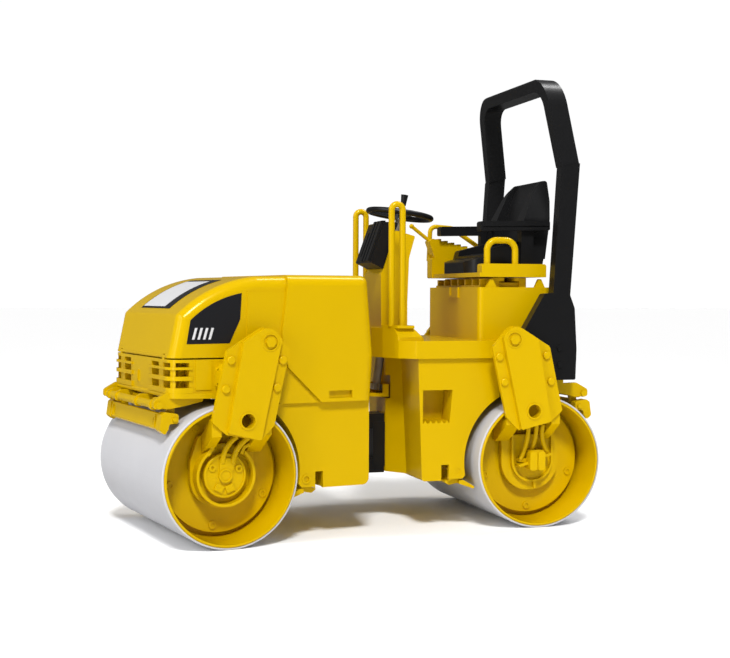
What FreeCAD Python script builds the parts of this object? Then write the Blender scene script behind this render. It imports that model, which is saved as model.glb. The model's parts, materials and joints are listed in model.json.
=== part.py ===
"""Toy tandem road roller, 1:16 class: two drums, an articulated frame, a lifting hood,
a sliding seat station and a roll-over hoop.

Millimetres. +X is forward, +Y is the driver's left, +Z is up, and the ground is z = 0.
Each half of the frame is drawn straight, with the articulation pin on the Z axis. The front
half is then turned by `steer_at_rest` about that pin, and the whole model is shifted so that
its origin lies under the middle of its bounding box.
"""

import math
import os

import FreeCAD
import Part

Vector = FreeCAD.Vector
Z_UP = Vector(0, 0, 1)
ALONG_Y = Vector(0, 1, 0)
ORIGIN = Vector(0, 0, 0)

# ------------------------------------------------------------------ driving dimensions
drum_radius = 39.0
drum_half_width = 59.7
axle_reach = 100.0            # articulation pin to either drum's axis
steer_at_rest = 10.0          # degrees, front half turned to the driver's left

wall = 2.2                    # usual moulded wall
body_half_width = 50.0        # lower bodies
deck_half_width = 52.5        # platform and engine housing
hood_half_width = 52.0
cover_half_width = 54.2       # rear part of the hood, which laps over the housing
move_gap = 0.4                # air between pieces that move past each other
shaft_clearance = 0.05        # radial clearance of a shaft in its bore

ground_clearance = 28.8
lower_body_top = 77.1
housing_top = 102.5
hood_bottom = 103.3
hood_top = 148.0
deck_bottom = 100.5
deck_top = 110.8
tail = 119.4                  # articulation pin to the rear edge of the deck
pedestal_top = 142.4
tray_bottom = 148.5

arch_radius = 44.2            # wheel arch about the drum's axis
axle_radius = 3.0
sleeve_wall = 1.0
disc_depth = 19.7             # drum end face to the web disc
recess_mouth_radius = 36.4
recess_floor_radius = 35.2
disc_radius = 32.4

strut_inner_y = 60.8
strut_plate = 2.4
strut_face = 3.0              # raised box on the strut
yoke_y = (41.6, 45.0)

scraper_pin = (51.8, 34.2)    # x, z of the inner scrapers' hinge pins
blade_pin = (129.4, 70.8)     # x, z of the outer scrapers' hinge pins
bar_height = 78.3             # of the spray bars
bar_radius = 2.2
hood_pin = (130.9, 104.0)     # x, z of the hood's hinge
hinge_pin_radius = 0.45
wheel_centre = Vector(-31.8, 0, 187.0)
column_rake = 8.0             # degrees, steering shaft leans back at the top
pinion_z = 81.0
tooth_module = 1.0
pinion_teeth = 8
sector_teeth = 42             # of a full internal ring

chassis_rear = 12.4
hitch_low = 29.0
hitch_lug = 9.0
hitch_high = 65.0
trunnion_radius = 7.0


# ------------------------------------------------------------------ small shape helpers
def block(x, y, z):
    """A box from three (low, high) pairs."""
    size = [abs(pair[1] - pair[0]) for pair in (x, y, z)]
    return Part.makeBox(*size, Vector(min(x), min(y), min(z)))


def outline(points):
    """A closed wire. A point is (u, v) for a sharp corner or (u, v, r) for a rounded one."""
    count = len(points)
    stops = []
    for i, point in enumerate(points):
        corner = Vector(point[0], point[1], 0)
        if len(point) == 2:
            stops.append((corner, corner, None))
            continue
        before = Vector(points[i - 1][0], points[i - 1][1], 0) - corner
        after = Vector(points[(i + 1) % count][0], points[(i + 1) % count][1], 0) - corner
        before.normalize()
        after.normalize()
        half_angle = before.getAngle(after) / 2
        reach = point[2] / math.tan(half_angle)
        middle = (before + after).normalize()
        centre = corner + middle * (point[2] / math.sin(half_angle))
        stops.append((corner + before * reach, corner + after * reach, centre - middle * point[2]))
    edges = []
    for i, (start, end, crown) in enumerate(stops):
        if crown is not None:
            edges.append(Part.Arc(start, crown, end).toShape())
        following = stops[(i + 1) % count][0]
        if (following - end).Length > 1e-6:
            edges.append(Part.LineSegment(end, following).toShape())
    return Part.Wire(edges)


def prism_y(points, y):
    """An (x, z) outline extruded between two y values."""
    face = Part.Face(outline(points))
    face.rotate(ORIGIN, Vector(1, 0, 0), 90)
    face.translate(Vector(0, max(y), 0))
    return face.extrude(Vector(0, min(y) - max(y), 0))


def prism_x(points, x):
    """A (y, z) outline extruded between two x values."""
    face = Part.Face(outline(points))
    face.rotate(ORIGIN, Vector(1, 0, 0), 90)
    face.rotate(ORIGIN, Z_UP, 90)
    face.translate(Vector(min(x), 0, 0))
    return face.extrude(Vector(max(x) - min(x), 0, 0))


def prism_z(points, z):
    """An (x, y) outline extruded between two z values."""
    face = Part.Face(outline(points))
    face.translate(Vector(0, 0, min(z)))
    return face.extrude(Vector(0, 0, max(z) - min(z)))


def rod(start, end, radius):
    """A round rod between two points."""
    along = end - start
    return Part.makeCylinder(radius, along.Length, start, along)


def disc_y(x, z, radius, y):
    """A round disc or pin along Y between two y values."""
    return Part.makeCylinder(radius, abs(y[1] - y[0]), Vector(x, min(y), z), ALONG_Y)


def turned_y(points, centre):
    """A (radius, y) outline turned about the line through `centre` along Y."""
    face = Part.Face(outline(points))
    solid = face.revolve(ORIGIN, ALONG_Y, 360)
    solid.translate(centre)
    return solid


def join(*shapes):
    """One solid from shapes that touch or overlap."""
    result = shapes[0].multiFuse(list(shapes[1:])) if len(shapes) > 1 else shapes[0]
    return result.removeSplitter()


def bent_tube(points, radius, bend):
    """A tube along straight runs joined by arcs of one bend radius."""
    edges = []
    last = points[0]
    for before, corner, after in zip(points, points[1:], points[2:]):
        back = (before - corner).normalize()
        ahead = (after - corner).normalize()
        half_angle = back.getAngle(ahead) / 2
        reach = bend / math.tan(half_angle)
        middle = (back + ahead).normalize()
        crown = corner + middle * (bend / math.sin(half_angle) - bend)
        edges.append(Part.LineSegment(last, corner + back * reach).toShape())
        edges.append(Part.Arc(corner + back * reach, crown, corner + ahead * reach).toShape())
        last = corner + ahead * reach
    edges.append(Part.LineSegment(last, points[-1]).toShape())
    section = Part.Wire(Part.Circle(points[0], points[1] - points[0], radius).toShape())
    return Part.Wire(edges).makePipeShell([section], True, True)


def soften(shape, radius, wanted):
    """Fillets the straight or curved edges that `wanted` accepts."""
    edges = [edge for edge in shape.Edges if wanted(edge)]
    return shape.makeFillet(radius, edges)


def other_side(shape):
    """The same piece on the driver's right."""
    return shape.mirror(ORIGIN, ALONG_Y)


def to_rear(shape):
    """A front-half piece turned half round, so that front left becomes rear right."""
    turned = shape.copy()
    turned.rotate(ORIGIN, Z_UP, 180)
    return turned


def both_sides(shape):
    """A group of the left piece and its mirror image."""
    return Part.makeCompound([shape, other_side(shape)])


# ------------------------------------------------------------------ drums
drum_axis = Vector(axle_reach, 0, drum_radius)
disc_y_face = drum_half_width - disc_depth
core_radius = drum_radius - sleeve_wall


def drum_sleeve():
    """The smooth grey rolling surface."""
    half = drum_half_width - 0.3
    ring = [
        (core_radius, -half),
        (drum_radius - 0.5, -half),
        (drum_radius, 0.5 - half),
        (drum_radius, half - 0.5),
        (drum_radius - 0.5, half),
        (core_radius, half),
    ]
    return turned_y(ring, drum_axis)


def drum_core_half(first_boss):
    """One half of the drum's inner moulding: rim, raised web disc in a groove, and hub tube."""
    bore = axle_radius + shaft_clearance
    disc_back = disc_y_face - 3.0
    groove = disc_y_face - 5.0
    groove_back = groove - 1.8
    tube = 35.4
    half = turned_y(
        [
            (bore, 0),
            (6.5, 0),
            (6.5, disc_back),
            (disc_radius - 1.8, disc_back),
            (disc_radius - 1.8, groove_back),
            (tube, groove_back),
            (tube, 0),
            (core_radius, 0),
            (core_radius, drum_half_width - 0.8),
            (core_radius - 0.8, drum_half_width),
            (recess_mouth_radius, drum_half_width),
            (recess_floor_radius, groove + 1.0),
            (recess_floor_radius, groove),
            (disc_radius, groove),
            (disc_radius, disc_y_face),
            (8.5, disc_y_face),
            (8.5, disc_y_face + 0.8),
            (bore, disc_y_face + 0.8),
        ],
        drum_axis,
    )
    bosses = []
    for k in range(5):
        angle = math.radians(first_boss + 72 * k)
        x = axle_reach + 28.5 * math.cos(angle)
        z = drum_radius + 28.5 * math.sin(angle)
        boss = disc_y(x, z, 2.2, (disc_y_face - 0.5, disc_y_face + 0.9))
        bosses.append(boss.cut(disc_y(x, z, 1.1, (disc_y_face + 0.3, disc_y_face + 2))))
    return join(half, *bosses)


def drum_axle():
    """Steel rod held in both yokes."""
    return disc_y(axle_reach, drum_radius, axle_radius, (-yoke_y[1], yoke_y[1]))


# ------------------------------------------------------------------ struts and hubs
def strut(mount_reach, body_side):
    """Left strut: plate with a raised box, a mounting block inboard and the drum's yoke."""
    plate_out = strut_inner_y + strut_plate
    face_out = plate_out + strut_face
    plate = prism_y(
        [
            (76.8, 66.4, 1.5),
            (67.8, 107.4, 3),
            (80.4, 121.8, 7.3),
            (104.2, 107.6, 3),
            (112.6, 69.6, 1.5),
            (104.2, 62.4, 1),
            (84.6, 58.6, 1),
        ],
        (strut_inner_y, plate_out),
    )
    face = prism_y(
        [
            (85.4, 58.9, 1),
            (73.4, 113.2, 0.5),
            (80.4, 121.2, 7),
            (95.6, 112.1, 0.5),
            (104.2, 63.6, 1),
        ],
        (plate_out - 0.5, face_out),
    )
    head_ring = disc_y(80.4, 111.8, 5.0, (plate_out - 0.5, face_out + 0.3))
    pin_seat = disc_y(80.4, 111.8, 4.1, (face_out - 0.3, face_out + 1))
    hole_rim = disc_y(93.2, 69.8, 4.9, (face_out - 0.5, face_out + 0.5))
    mount = prism_y(
        [
            (78, 84.5, 3),
            (78, 100.3, 3),
            (mount_reach - 3.4, 100.3, 1),
            (mount_reach, 97.2, 1),
            (mount_reach, 88.2, 1),
            (mount_reach - 3.4, 84.5, 1),
        ],
        (body_side, strut_inner_y + 0.5),
    )
    for z in (96.6, 88.8):
        mount = mount.cut(Part.makeCylinder(1.2, 4, Vector(mount_reach - 3, 56.6, z), Vector(1, 0, 0)))
    skirt = prism_x(
        [
            (strut_inner_y + 0.5, 71),
            (strut_inner_y + 0.5, 61.5),
            (yoke_y[1], 50.5),
            (yoke_y[0], 50.5),
            (yoke_y[0], 58.5),
            (strut_inner_y - 2.2, 71),
        ],
        (77.6, 112),
    )
    skirt = skirt.cut(block((86.4, 106.4), (30, 70), (40, 80)))
    skirt = skirt.common(disc_y(axle_reach, drum_radius, 34.0, (30, 70)))
    yoke = prism_y(
        [
            (80.6, 61.0, 3),
            (113.6, 61.0, 3),
            (axle_reach + 18.4, drum_radius + 8, 12),
            (axle_reach + 18.4, drum_radius - 18.4, 17.5),
            (axle_reach - 18.4, drum_radius - 18.4, 17.5),
            (axle_reach - 18.4, drum_radius + 8, 12),
        ],
        yoke_y,
    )
    yoke = yoke.cut(block((86.4, 106.4), (30, 70), (drum_radius + 14.5, 80)))
    solid = join(plate, face, head_ring, hole_rim, mount, skirt, yoke).cut(pin_seat)
    hollow = prism_y(
        [(88.3, 73.5, 2), (78.0, 105.6, 2), (92.6, 107.2, 2), (100.0, 73.5, 2)],
        (strut_inner_y - 1, face_out - 1.6),
    )
    hollow = hollow.cut(mount)
    through = disc_y(93.2, 69.8, 3.9, (strut_inner_y - 1, face_out + 1))
    axle_hole = disc_y(axle_reach, drum_radius, axle_radius, (yoke_y[0] - 1, yoke_y[1] + 1))
    return solid.cut(hollow).cut(through).cut(axle_hole)


def strut_bolts():
    """Domed bolt heads on one strut's two flanges."""
    out = strut_inner_y + strut_plate
    heads = []
    for x, z in ((101.9, 102.3), (104.9, 87.0), (72.2, 101.8), (75.4, 87.0)):
        head = disc_y(x, z, 2.3, (out, out + 1.6))
        heads.append(soften(head, 0.7, lambda edge: edge.CenterOfMass.y > out + 1.5))
    return heads


def strut_pin():
    """Hexagon-headed pin in the strut's head ring."""
    out = strut_inner_y + strut_plate + strut_face - 0.3
    reach = 3.0
    corners = []
    for k in range(6):
        angle = math.radians(60 * k)
        corners.append((80.4 + reach * math.cos(angle), 111.8 + reach * math.sin(angle)))
    return prism_y(corners, (out, out + 1.5))


def hose(start, end, sweep, radius=1.3):
    """A short moulded hose that bows forward between two points."""
    middle = (start + end) / 2 + Vector(sweep, 0, 0)
    path = Part.Wire(Part.Arc(start, middle, end).toShape())
    tangent = path.Edges[0].tangentAt(path.Edges[0].FirstParameter)
    section = Part.Wire(Part.Circle(start, tangent, radius).toShape())
    return path.makePipeShell([section], True, True)


def ring_hub():
    """Hydraulic motor with a thin guard ring that opens upwards into two arms."""
    x, z = axle_reach, drum_radius
    back = yoke_y[1]
    rise = 6.5
    guard = disc_y(x, z, 17.0, (back, back + rise)).cut(disc_y(x, z, 15.5, (back + 0.6, back + 9)))
    guard = guard.cut(block((x - 10.6, x + 10.6), (back + 0.6, back + 9), (z + 8, z + 20)))
    arm_outlines = (
        [(9.6, 11.2), (12.6, 11.4), (9.2, 15.0), (8.0, 21.0), (6.4, 21.0), (7.6, 14.2)],
        [(-9.6, 11.2), (-11.0, 14.2), (-17.2, 17.4), (-16.6, 18.9), (-9.8, 15.6), (-8.0, 11.8)],
    )
    arms = [
        prism_y([(x + u, z + v) for u, v in outline_points], (back - 0.2, back + rise))
        for outline_points in arm_outlines
    ]
    face = back + 5.0
    motor = soften(disc_y(x, z, 12.3, (back, face)), 0.8, lambda edge: edge.CenterOfMass.y > face - 0.5)
    motor = motor.cut(disc_y(x, z, 10.9, (face - 0.7, face + 1)))
    boss = disc_y(x, z, 3.8, (face - 1, face + 0.9)).cut(disc_y(x, z, 2.9, (face + 0.3, face + 2)))
    tongue = prism_y(
        [(x - 3.4, z - 1), (x - 6.4, z + 9.0, 1), (x + 3.4, z + 9.6, 1), (x + 3.4, z - 1)],
        (face - 1, face + 0.2),
    )
    wings = []
    for u, v in ((7.4, 4.6), (-8.0, 3.4)):
        wing = disc_y(x + u, z + v, 2.1, (face - 1, face + 0.1))
        wings.append(wing.cut(disc_y(x + u, z + v, 0.9, (face - 0.8, face + 1))))
    blocks = []
    for turn in (-28, 20):
        lump = block((x - 2.4, x + 2.4), (face - 1, face + 0.4), (z - 9.4, z - 5.6))
        lump.rotate(Vector(x, 0, z), ALONG_Y, turn)
        blocks.append(lump)
    hoses = []
    for top_x, top_z, foot_x, foot_z in ((-5.2, 21.4, 1.4, 7.2), (-12.2, 20.6, -4.6, 6.6)):
        start = Vector(x + top_x, back + 8.5, z + top_z)
        end = Vector(x + foot_x, back + 4.4, z + foot_z)
        hoses.append(hose(start, end, 2.4, 1.5))
    return join(guard, *arms, motor, boss, tongue, *wings, *blocks, *hoses)


def block_hub():
    """Split square motor block over a shallow U-shaped rim, on the yoke plate."""
    x, z = axle_reach + 0.6, drum_radius
    back = yoke_y[1]
    rim_height = 2.6

    def u_outline(half):
        return [
            (x - half, z + 15, 1),
            (x + half, z + 15, 1),
            (x + half, z - half, half - 0.2),
            (x - half, z - half, half - 0.2),
        ]

    rim = prism_y(u_outline(13.4), (back, back + rim_height))
    rim = rim.cut(prism_y(u_outline(12.2), (back + 0.6, back + 9)))
    rim = rim.cut(block((x - 12.2, x + 12.2), (back + 0.6, back + 9), (z + 10, z + 20)))
    lobes = []
    for side in (1, -1):
        near, far = sorted((side * 0.35, side * 4.9))
        lobes.append(
            prism_y(
                [
                    (x + near, z - 5.6, 1.4),
                    (x + near, z + 5.6, 1.4),
                    (x + far, z + 5.6, 1.4),
                    (x + far, z - 5.6, 1.4),
                ],
                (back + 4, back + 10.5),
            )
        )
    base = prism_y(
        [(x - 4.4, z - 5, 1), (x - 4.4, z + 6.4, 1), (x + 4.4, z + 6.4, 1), (x + 4.4, z - 5, 1)],
        (back + 0.2, back + 9.6),
    )
    left_tab = block((x - 10.4, x - 3.5), (back + 0.2, back + 7.5), (z - 0.7, z + 0.7))
    left_tab.rotate(Vector(x - 4, 0, z - 1.4), ALONG_Y, -14)
    left_tab.translate(Vector(0, 0, -1.4))
    right_tab = block((x + 3.5, x + 10.2), (back + 0.2, back + 7.5), (z - 0.7, z + 0.7))
    right_tab.rotate(Vector(x + 4, 0, z), ALONG_Y, -14)
    right_tab.translate(Vector(0, 0, 2.0))
    foot = prism_y(
        [(x + 1.6, z - 17.4), (x + 0.8, z - 12.6), (x + 3.6, z - 12.6), (x + 2.8, z - 17.4)],
        (back - 0.2, back + 1.6),
    )
    hoses = []
    hose_runs = ((-5.8, -8.4, 0.6, 1.4), (-0.6, -1.4, 5.6, 0.8), (3.6, 8.6, 4.6, -1.6))
    for top_x, foot_x, foot_z, sweep in hose_runs:
        start = Vector(x + top_x, back + 9.5, z + 21.6)
        end = Vector(x + foot_x, back + 4.0, z + foot_z)
        hoses.append(hose(start, end, sweep))
    knee = block((x - 9.4, x - 3.5), (back + 0.2, back + 4.6), (z - 1.0, z + 1.2))
    elbow = block((x + 3.5, x + 9.4), (back + 0.2, back + 4.6), (z + 3.2, z + 5.4))
    return join(rim, base, *lobes, left_tab, right_tab, foot, *hoses, knee, elbow)


# ------------------------------------------------------------------ front half
def arch_cut():
    """The space that a drum needs in the body ahead of or behind it."""
    return disc_y(axle_reach, drum_radius, arch_radius, (-70, 70))


def lower_body(profile):
    """A box-like lower body with a wheel arch, scraper tabs, bay and a hollow inside."""
    solid = prism_y(profile, (-body_half_width, body_half_width)).cut(arch_cut())
    x, z = scraper_pin
    bay = block((40.4, 60), (-body_half_width + wall + 0.4, body_half_width - wall - 0.4), (20, 40))
    side_notch = block((41.4, 46.2), (-60, 60), (20, 38.0))
    tab_corner = prism_y([(54.2, 29.0), (58.5, 29.0), (58.5, 34.0)], (-60, 60))
    solid = solid.cut(bay).cut(side_notch).cut(tab_corner)
    for side in (1, -1):
        near, far = sorted((side * (body_half_width - 1), side * (body_half_width + 0.6)))
        solid = solid.fuse(disc_y(x, z, 2.7, (near, far)))
    return solid.cut(disc_y(x, z, 1.6, (-60, 60)))


def front_chassis():
    """Lower front body between the articulation and the front drum."""
    solid = lower_body(
        [
            (chassis_rear, lower_body_top),
            (90, lower_body_top),
            (90, 29.6),
            (48.2, 29.6, 1.5),
            (46.2, ground_clearance),
            (chassis_rear, ground_clearance, 4),
        ]
    )
    inner_half = body_half_width - wall
    hollow = block((chassis_rear + wall, 80), (-inner_half, inner_half), (40 + wall, 90))
    hollow = hollow.cut(disc_y(axle_reach, drum_radius, arch_radius + wall, (-70, 70)))
    floor = ground_clearance + wall
    belly = block((chassis_rear + wall, 40.4 - wall), (-inner_half, inner_half), (floor, 50))
    socket = block((chassis_rear, 31.0), (-13, 13), (ground_clearance + 1, 62))
    bore = Part.makeCylinder(
        trunnion_radius + shaft_clearance, 40, Vector(0, 0, trunnion_z), Vector(1, 0, 0)
    )
    return join(solid.cut(hollow).cut(belly), socket).cut(bore)


def rounded_nose(reach, half, radius):
    """Tall block whose two front upright edges are rounded."""
    return prism_z([(0, -half), (reach, -half, radius), (reach, half, radius), (0, half)], (60, 160))


def front_housing():
    """Engine housing above the front drum, with the corner grilles."""
    half = deck_half_width - 0.5
    floor = 80.6
    front = 131.8
    corner = 7.0
    profile = [
        (18.4, lower_body_top),
        (68.0, lower_body_top, 2),
        (73.0, floor, 2),
        (front - 0.2, floor + 1.2, 1.5),
        (front, housing_top),
        (18.4, housing_top),
    ]
    solid = prism_y(profile, (-half, half)).common(rounded_nose(front, half, corner))
    bay = block((18.4 + wall, 117.0), (wall - half, half - wall), (floor + 3.0, 120))
    solid = solid.cut(bay)
    rows = ((98.5, 100.8), (93.5, 97.1), (87.4, 91.3))
    windows = []
    for low, high in rows:
        for near, far in ((19.6, 32.0), (39.6, 48.6)):
            windows.append(block((123.4, 135), (near, far), (low, high)))
            windows.append(block((123.4, 135), (-far, -near), (low, high)))
        windows.append(block((121.4, 128.6), (half - 8, 60), (low, high)))
        windows.append(block((121.4, 128.6), (-60, 8 - half), (low, high)))
    for window in windows:
        solid = solid.cut(window)
    rails = []
    for low, high in ((97.1, 98.5), (91.3, 93.5), (84.6, 87.4)):
        rail = rounded_nose(front + 0.9, half + 0.9, corner + 0.9)
        rail = rail.cut(rounded_nose(front - 0.6, half - 0.6, corner - 0.6))
        rail = rail.common(block((119.6, 140), (-60, 60), (low, high)))
        rails.append(rail.cut(block((119, 140), (-15.6, 15.6), (low - 1, high + 1))))
    lip = prism_y(
        [(104, 81.2), (front + 0.8, 82.0, 1), (front + 0.8, 84.6, 1), (104, 84.4)],
        (-half - 0.9, half + 0.9),
    )
    lip = lip.common(rounded_nose(front + 0.8, half + 0.9, corner + 0.9))
    lip = lip.cut(rounded_nose(front - 0.8, half - 0.8, corner - 0.8))
    panels = [
        block((109.0, 118.0), (side * half - 0.7, side * half + 0.7), (86.2, 102.2)) for side in (1, -1)
    ]
    rib = prism_y(
        [(front - 0.6, 87.6), (front - 0.6, 95.4), (front + 0.8, 94.0), (front + 0.8, 88.8)],
        (-5.6, -4.2),
    )
    x, z = hood_pin
    ear = join(disc_y(x, z, 1.0, (38, 41)), block((x - 1.0, x + 1.0), (38, 41), (housing_top - 1.5, z)))
    solid = join(solid, lip, *rails, *panels, rib, ear, other_side(ear))
    return solid.cut(disc_y(x, z, hinge_pin_radius, (-45, 45)))


def is_upright(edge):
    """True for a straight edge along Z."""
    if not isinstance(edge.Curve, (Part.Line, Part.LineSegment)):
        return False
    direction = edge.tangentAt(edge.FirstParameter)
    return abs(direction.z) > 0.98


def hood_form(shrink):
    """The hood's outer form, or the hollow inside it when `shrink` is its wall."""
    top = hood_top - shrink
    half = hood_half_width - shrink
    low = hood_bottom if shrink == 0 else hood_bottom - 5
    back = 14.4
    nose_foot = Vector(131.7 - shrink, 0, low)
    nose_head = Vector(126.9 - shrink, 0, 126.4)
    crown = Vector(108.6 - 0.6 * shrink, 0, 139.6 - 0.8 * shrink)
    roof_start = Vector(82.0, 0, top - 0.6)
    roof_middle = Vector(40.0, 0, top)
    edges = [
        Part.LineSegment(Vector(back, 0, low), nose_foot).toShape(),
        Part.LineSegment(nose_foot, nose_head).toShape(),
        Part.Arc(nose_head, crown, roof_start).toShape(),
        Part.LineSegment(roof_start, roof_middle).toShape(),
        Part.LineSegment(roof_middle, Vector(back, 0, top)).toShape(),
        Part.LineSegment(Vector(back, 0, top), Vector(back, 0, low)).toShape(),
    ]
    face = Part.Face(Part.Wire(edges))
    face.translate(Vector(0, -half, 0))
    solid = face.extrude(Vector(0, 2 * half, 0))

    def brow(edge):
        centre = edge.CenterOfMass
        return abs(centre.y) < 0.01 and abs(centre.z - nose_head.z) < 0.1

    def rim(edge):
        centre = edge.CenterOfMass
        on_side = abs(abs(centre.y) - half) < 0.01
        return on_side and centre.z > low + 1 and centre.x > back + 1

    return soften(soften(solid, 3.0, brow), 6.0 - shrink, rim)


def cover_form(shrink):
    """The hood's rear cover, or the hollow inside it when `shrink` is its wall."""
    half = cover_half_width - shrink
    top = hood_top + 0.4 - shrink
    low = 77.4 if shrink == 0 else 70.0
    front = 0 if shrink == 0 else 6.0
    profile = [
        (12.0 + shrink, low),
        (10.4 + shrink, 103.0, 30),
        (14.4 + shrink, top, 3 - shrink if shrink else 4),
        (64.4 + front, top),
        (68.6 + front, 115.0, 20),
        (64.8 + front, 97.4, 2),
        (44.2 + front, low, 1.5),
    ]
    solid = prism_y(profile, (-half, half))

    def rim(edge):
        centre = edge.CenterOfMass
        return abs(abs(centre.y) - half) < 0.01 and centre.z > top - 1.5 and 18 < centre.x < 66

    return soften(solid, 6.0 - shrink, rim)


def hood():
    """One-piece hood that tips forward on two knuckles at its front lower edge."""
    shell_wall = 1.8
    front = hood_form(0).cut(hood_form(shell_wall))
    rear = cover_form(0).cut(cover_form(shell_wall))
    front = front.cut(block((0, 60), (-60, 60), (90, 160)))
    rear = rear.cut(hood_form(shell_wall))
    barrel = disc_y(hood_pin[0], hood_pin[1], 1.0, (-46, 46))
    band = []
    for side in (1, -1):
        strip_y = (side * hood_half_width, side * (hood_half_width + 0.6))
        strip = block((60, 88.4), strip_y, (hood_bottom, 139))
        band.append(strip)
    solid = join(front, rear, *band, barrel)
    for side in (1, -1):
        low, high = sorted((side * 37.6, side * 41.4))
        solid = solid.cut(block((127, 133), (low, high), (hood_bottom - 1, hood_pin[1] + 1.4)))
        grip_low, grip_high = sorted((side * 60, side * (cover_half_width - 2.6)))
        solid = solid.cut(block((25.2, 39.6), (grip_low, grip_high), (79.4, 83.6)))
    pin_hole = disc_y(hood_pin[0], hood_pin[1], hinge_pin_radius + shaft_clearance, (-46.5, 46.5))
    return solid.cut(pin_hole)


def hood_hinge_pins():
    """Two short steel pins through the housing's ears into the hood's barrel."""
    pin = disc_y(hood_pin[0], hood_pin[1], hinge_pin_radius, (33, 45.5))
    return both_sides(pin)


def engine_block():
    """Plain engine moulding seen when the hood is up."""
    floor = 83.6
    base = block((40, 112), (-30, 30), (floor, floor + 12))
    head = block((48, 98), (-13, 13), (floor + 11, 128))
    rocker = block((51, 95), (-10, 10), (127, 133))
    filter_can = Part.makeCylinder(8, 34, Vector(58, 23, floor + 24), Vector(1, 0, 0))
    saddle = block((63, 87), (19, 27), (floor + 11, floor + 22))
    pulleys = [
        Part.makeCylinder(9, 6, Vector(97, 0, floor + 22), Vector(1, 0, 0)),
        Part.makeCylinder(5, 5, Vector(97, -6, floor + 38), Vector(1, 0, 0)),
    ]
    exhaust = bent_tube(
        [Vector(60, -12, 112), Vector(60, -22, 112), Vector(60, -22, floor + 8)], 2.6, 6.0
    )
    return join(base, head, rocker, filter_can, saddle, exhaust, *pulleys)


def spray_bar(x):
    """Thin sprinkler tube at reach x, with collars, clips and end arms back to the body."""
    z = bar_height
    tube = disc_y(x, z, bar_radius, (-48.4, 48.4))
    caps = disc_y(x, z, 1.9, (-50.4, 50.4))
    arm = prism_y(
        [
            (112.5, 79.8, 1),
            (112.5, 84.4, 1),
            (x - 4.5, 84.9, 2),
            (x + 2.8, 80.8, 2),
            (x + 2.8, 76.6, 1.5),
            (x - 5.5, 76.2, 1),
            (122.5, 77.6, 2),
        ],
        (45.6, 49.0),
    )
    back_rail = block((124.6, 129.6), (-47, 47), (76.8, 80.2))
    parts = [tube, caps, back_rail, arm, other_side(arm)]
    for y in (-40.5, -24.6, 13.0, 40.5):
        parts.append(disc_y(x, z, bar_radius + 0.8, (y - 1.3, y + 1.3)))
        clip = prism_y(
            [
                (127, 77.4),
                (127, 80.2),
                (x - 4.4, 82.2, 1),
                (x - 0.6, 82.2, 1.5),
                (x + 1.6, 79.4, 0.5),
                (x - 1.8, 76.6, 0.5),
                (x - 3.0, 77.4, 0.5),
            ],
            (y - 1.3, y + 1.3),
        )
        parts.append(clip)
    ear = prism_y(
        [(126.8, 68.4, 2), (126.8, 79), (131.2, 79), (131.2, 68.4, 2)], (41.0, 43.8)
    )
    parts += [ear, other_side(ear)]
    return join(*parts).cut(disc_y(blade_pin[0], blade_pin[1], 1.3, (-60, 60)))


def outer_scraper():
    """Blade ahead of the drum, with an end bracket on each of its two hinge pins."""
    x, z = blade_pin
    end = 51.3
    blade = prism_y(
        [(133.4, 73.8, 0.6), (135.6, 73.8, 0.6), (136.9, 65.4, 1), (134.6, 63.6, 0.8)],
        (0.5 - end, end - 0.5),
    )
    bracket = prism_y(
        [
            (x - 2.4, z - 2.4, 1.4),
            (x - 2.4, z + 2.8, 1.4),
            (134.4, 74.8, 1),
            (136.4, 73.4, 0.6),
            (137.6, 65.2, 1.5),
            (134.6, 62.6, 1),
            (132.6, 65.6, 1),
            (132.0, 68.4, 1),
        ],
        (44.2, end),
    )
    bracket = bracket.cut(block((x - 3, 134.0), (47.2, end - 2.0), (60, z - 1.9)))
    rib = prism_y([(135.0, 73.4), (136.4, 72.8), (137.7, 66.4), (136.4, 65.6)], (39.4, 40.8))
    solid = join(blade, bracket, other_side(bracket), rib, other_side(rib))
    slot = block((135.8, 138), (36.0, 37.2), (66.8, 71.2))
    solid = solid.cut(slot).cut(other_side(slot))
    return solid.cut(disc_y(x, z, 1.3 + shaft_clearance, (-60, 60)))


def inner_scraper():
    """Blade behind the drum, on a barrel between the lower body's tabs."""
    x, z = scraper_pin
    inner_half = body_half_width - wall - 0.4 - move_gap
    barrel = disc_y(x, z, 2.8, (-inner_half, inner_half))
    web = prism_y(
        [(x - 2.4, z), (x + 2.4, z), (x + 3.0, 27.6), (x - 5.4, 27.6)], (-inner_half, inner_half)
    )
    blade = prism_y(
        [(43.4, 28.3, 0.6), (47.2, 25.6, 1), (52.4, 26.6), (62.0, 23.2, 0.5), (62.6, 24.6, 0.5),
         (55.5, 28.6, 1)],
        (0.6 - body_half_width, body_half_width - 0.6),
    )
    for side in (1, -1):
        near, far = sorted((side * inner_half, side * 60))
        blade = blade.cut(block((40, 53.0), (near, far), (20, 30)))
    solid = join(barrel, web, blade)
    return solid.cut(disc_y(x, z, 1.6 + shaft_clearance, (-60, 60)))


def scraper_pins():
    """Hinge pins of both scrapers of one half."""
    inner = disc_y(scraper_pin[0], scraper_pin[1], 1.6, (41, body_half_width - 0.4))
    outer = disc_y(blade_pin[0], blade_pin[1], 1.3, (41.0, 53.0))
    return Part.makeCompound([inner, other_side(inner), outer, other_side(outer)])


# ------------------------------------------------------------------ articulation and steering
trunnion_z = (hitch_low + hitch_high) / 2
pin_radius = 2.6
rake = math.radians(column_rake)
shaft_up = Vector(-math.sin(rake), 0, math.cos(rake))


def on_shaft(z):
    """The point of the steering shaft's axis at height z."""
    return wheel_centre + shaft_up * ((z - wheel_centre.z) / shaft_up.z)


sector_pitch_radius = tooth_module * sector_teeth / 2
pinion_pitch_radius = tooth_module * pinion_teeth / 2
sector_rim_radius = sector_pitch_radius + 3.4


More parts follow.
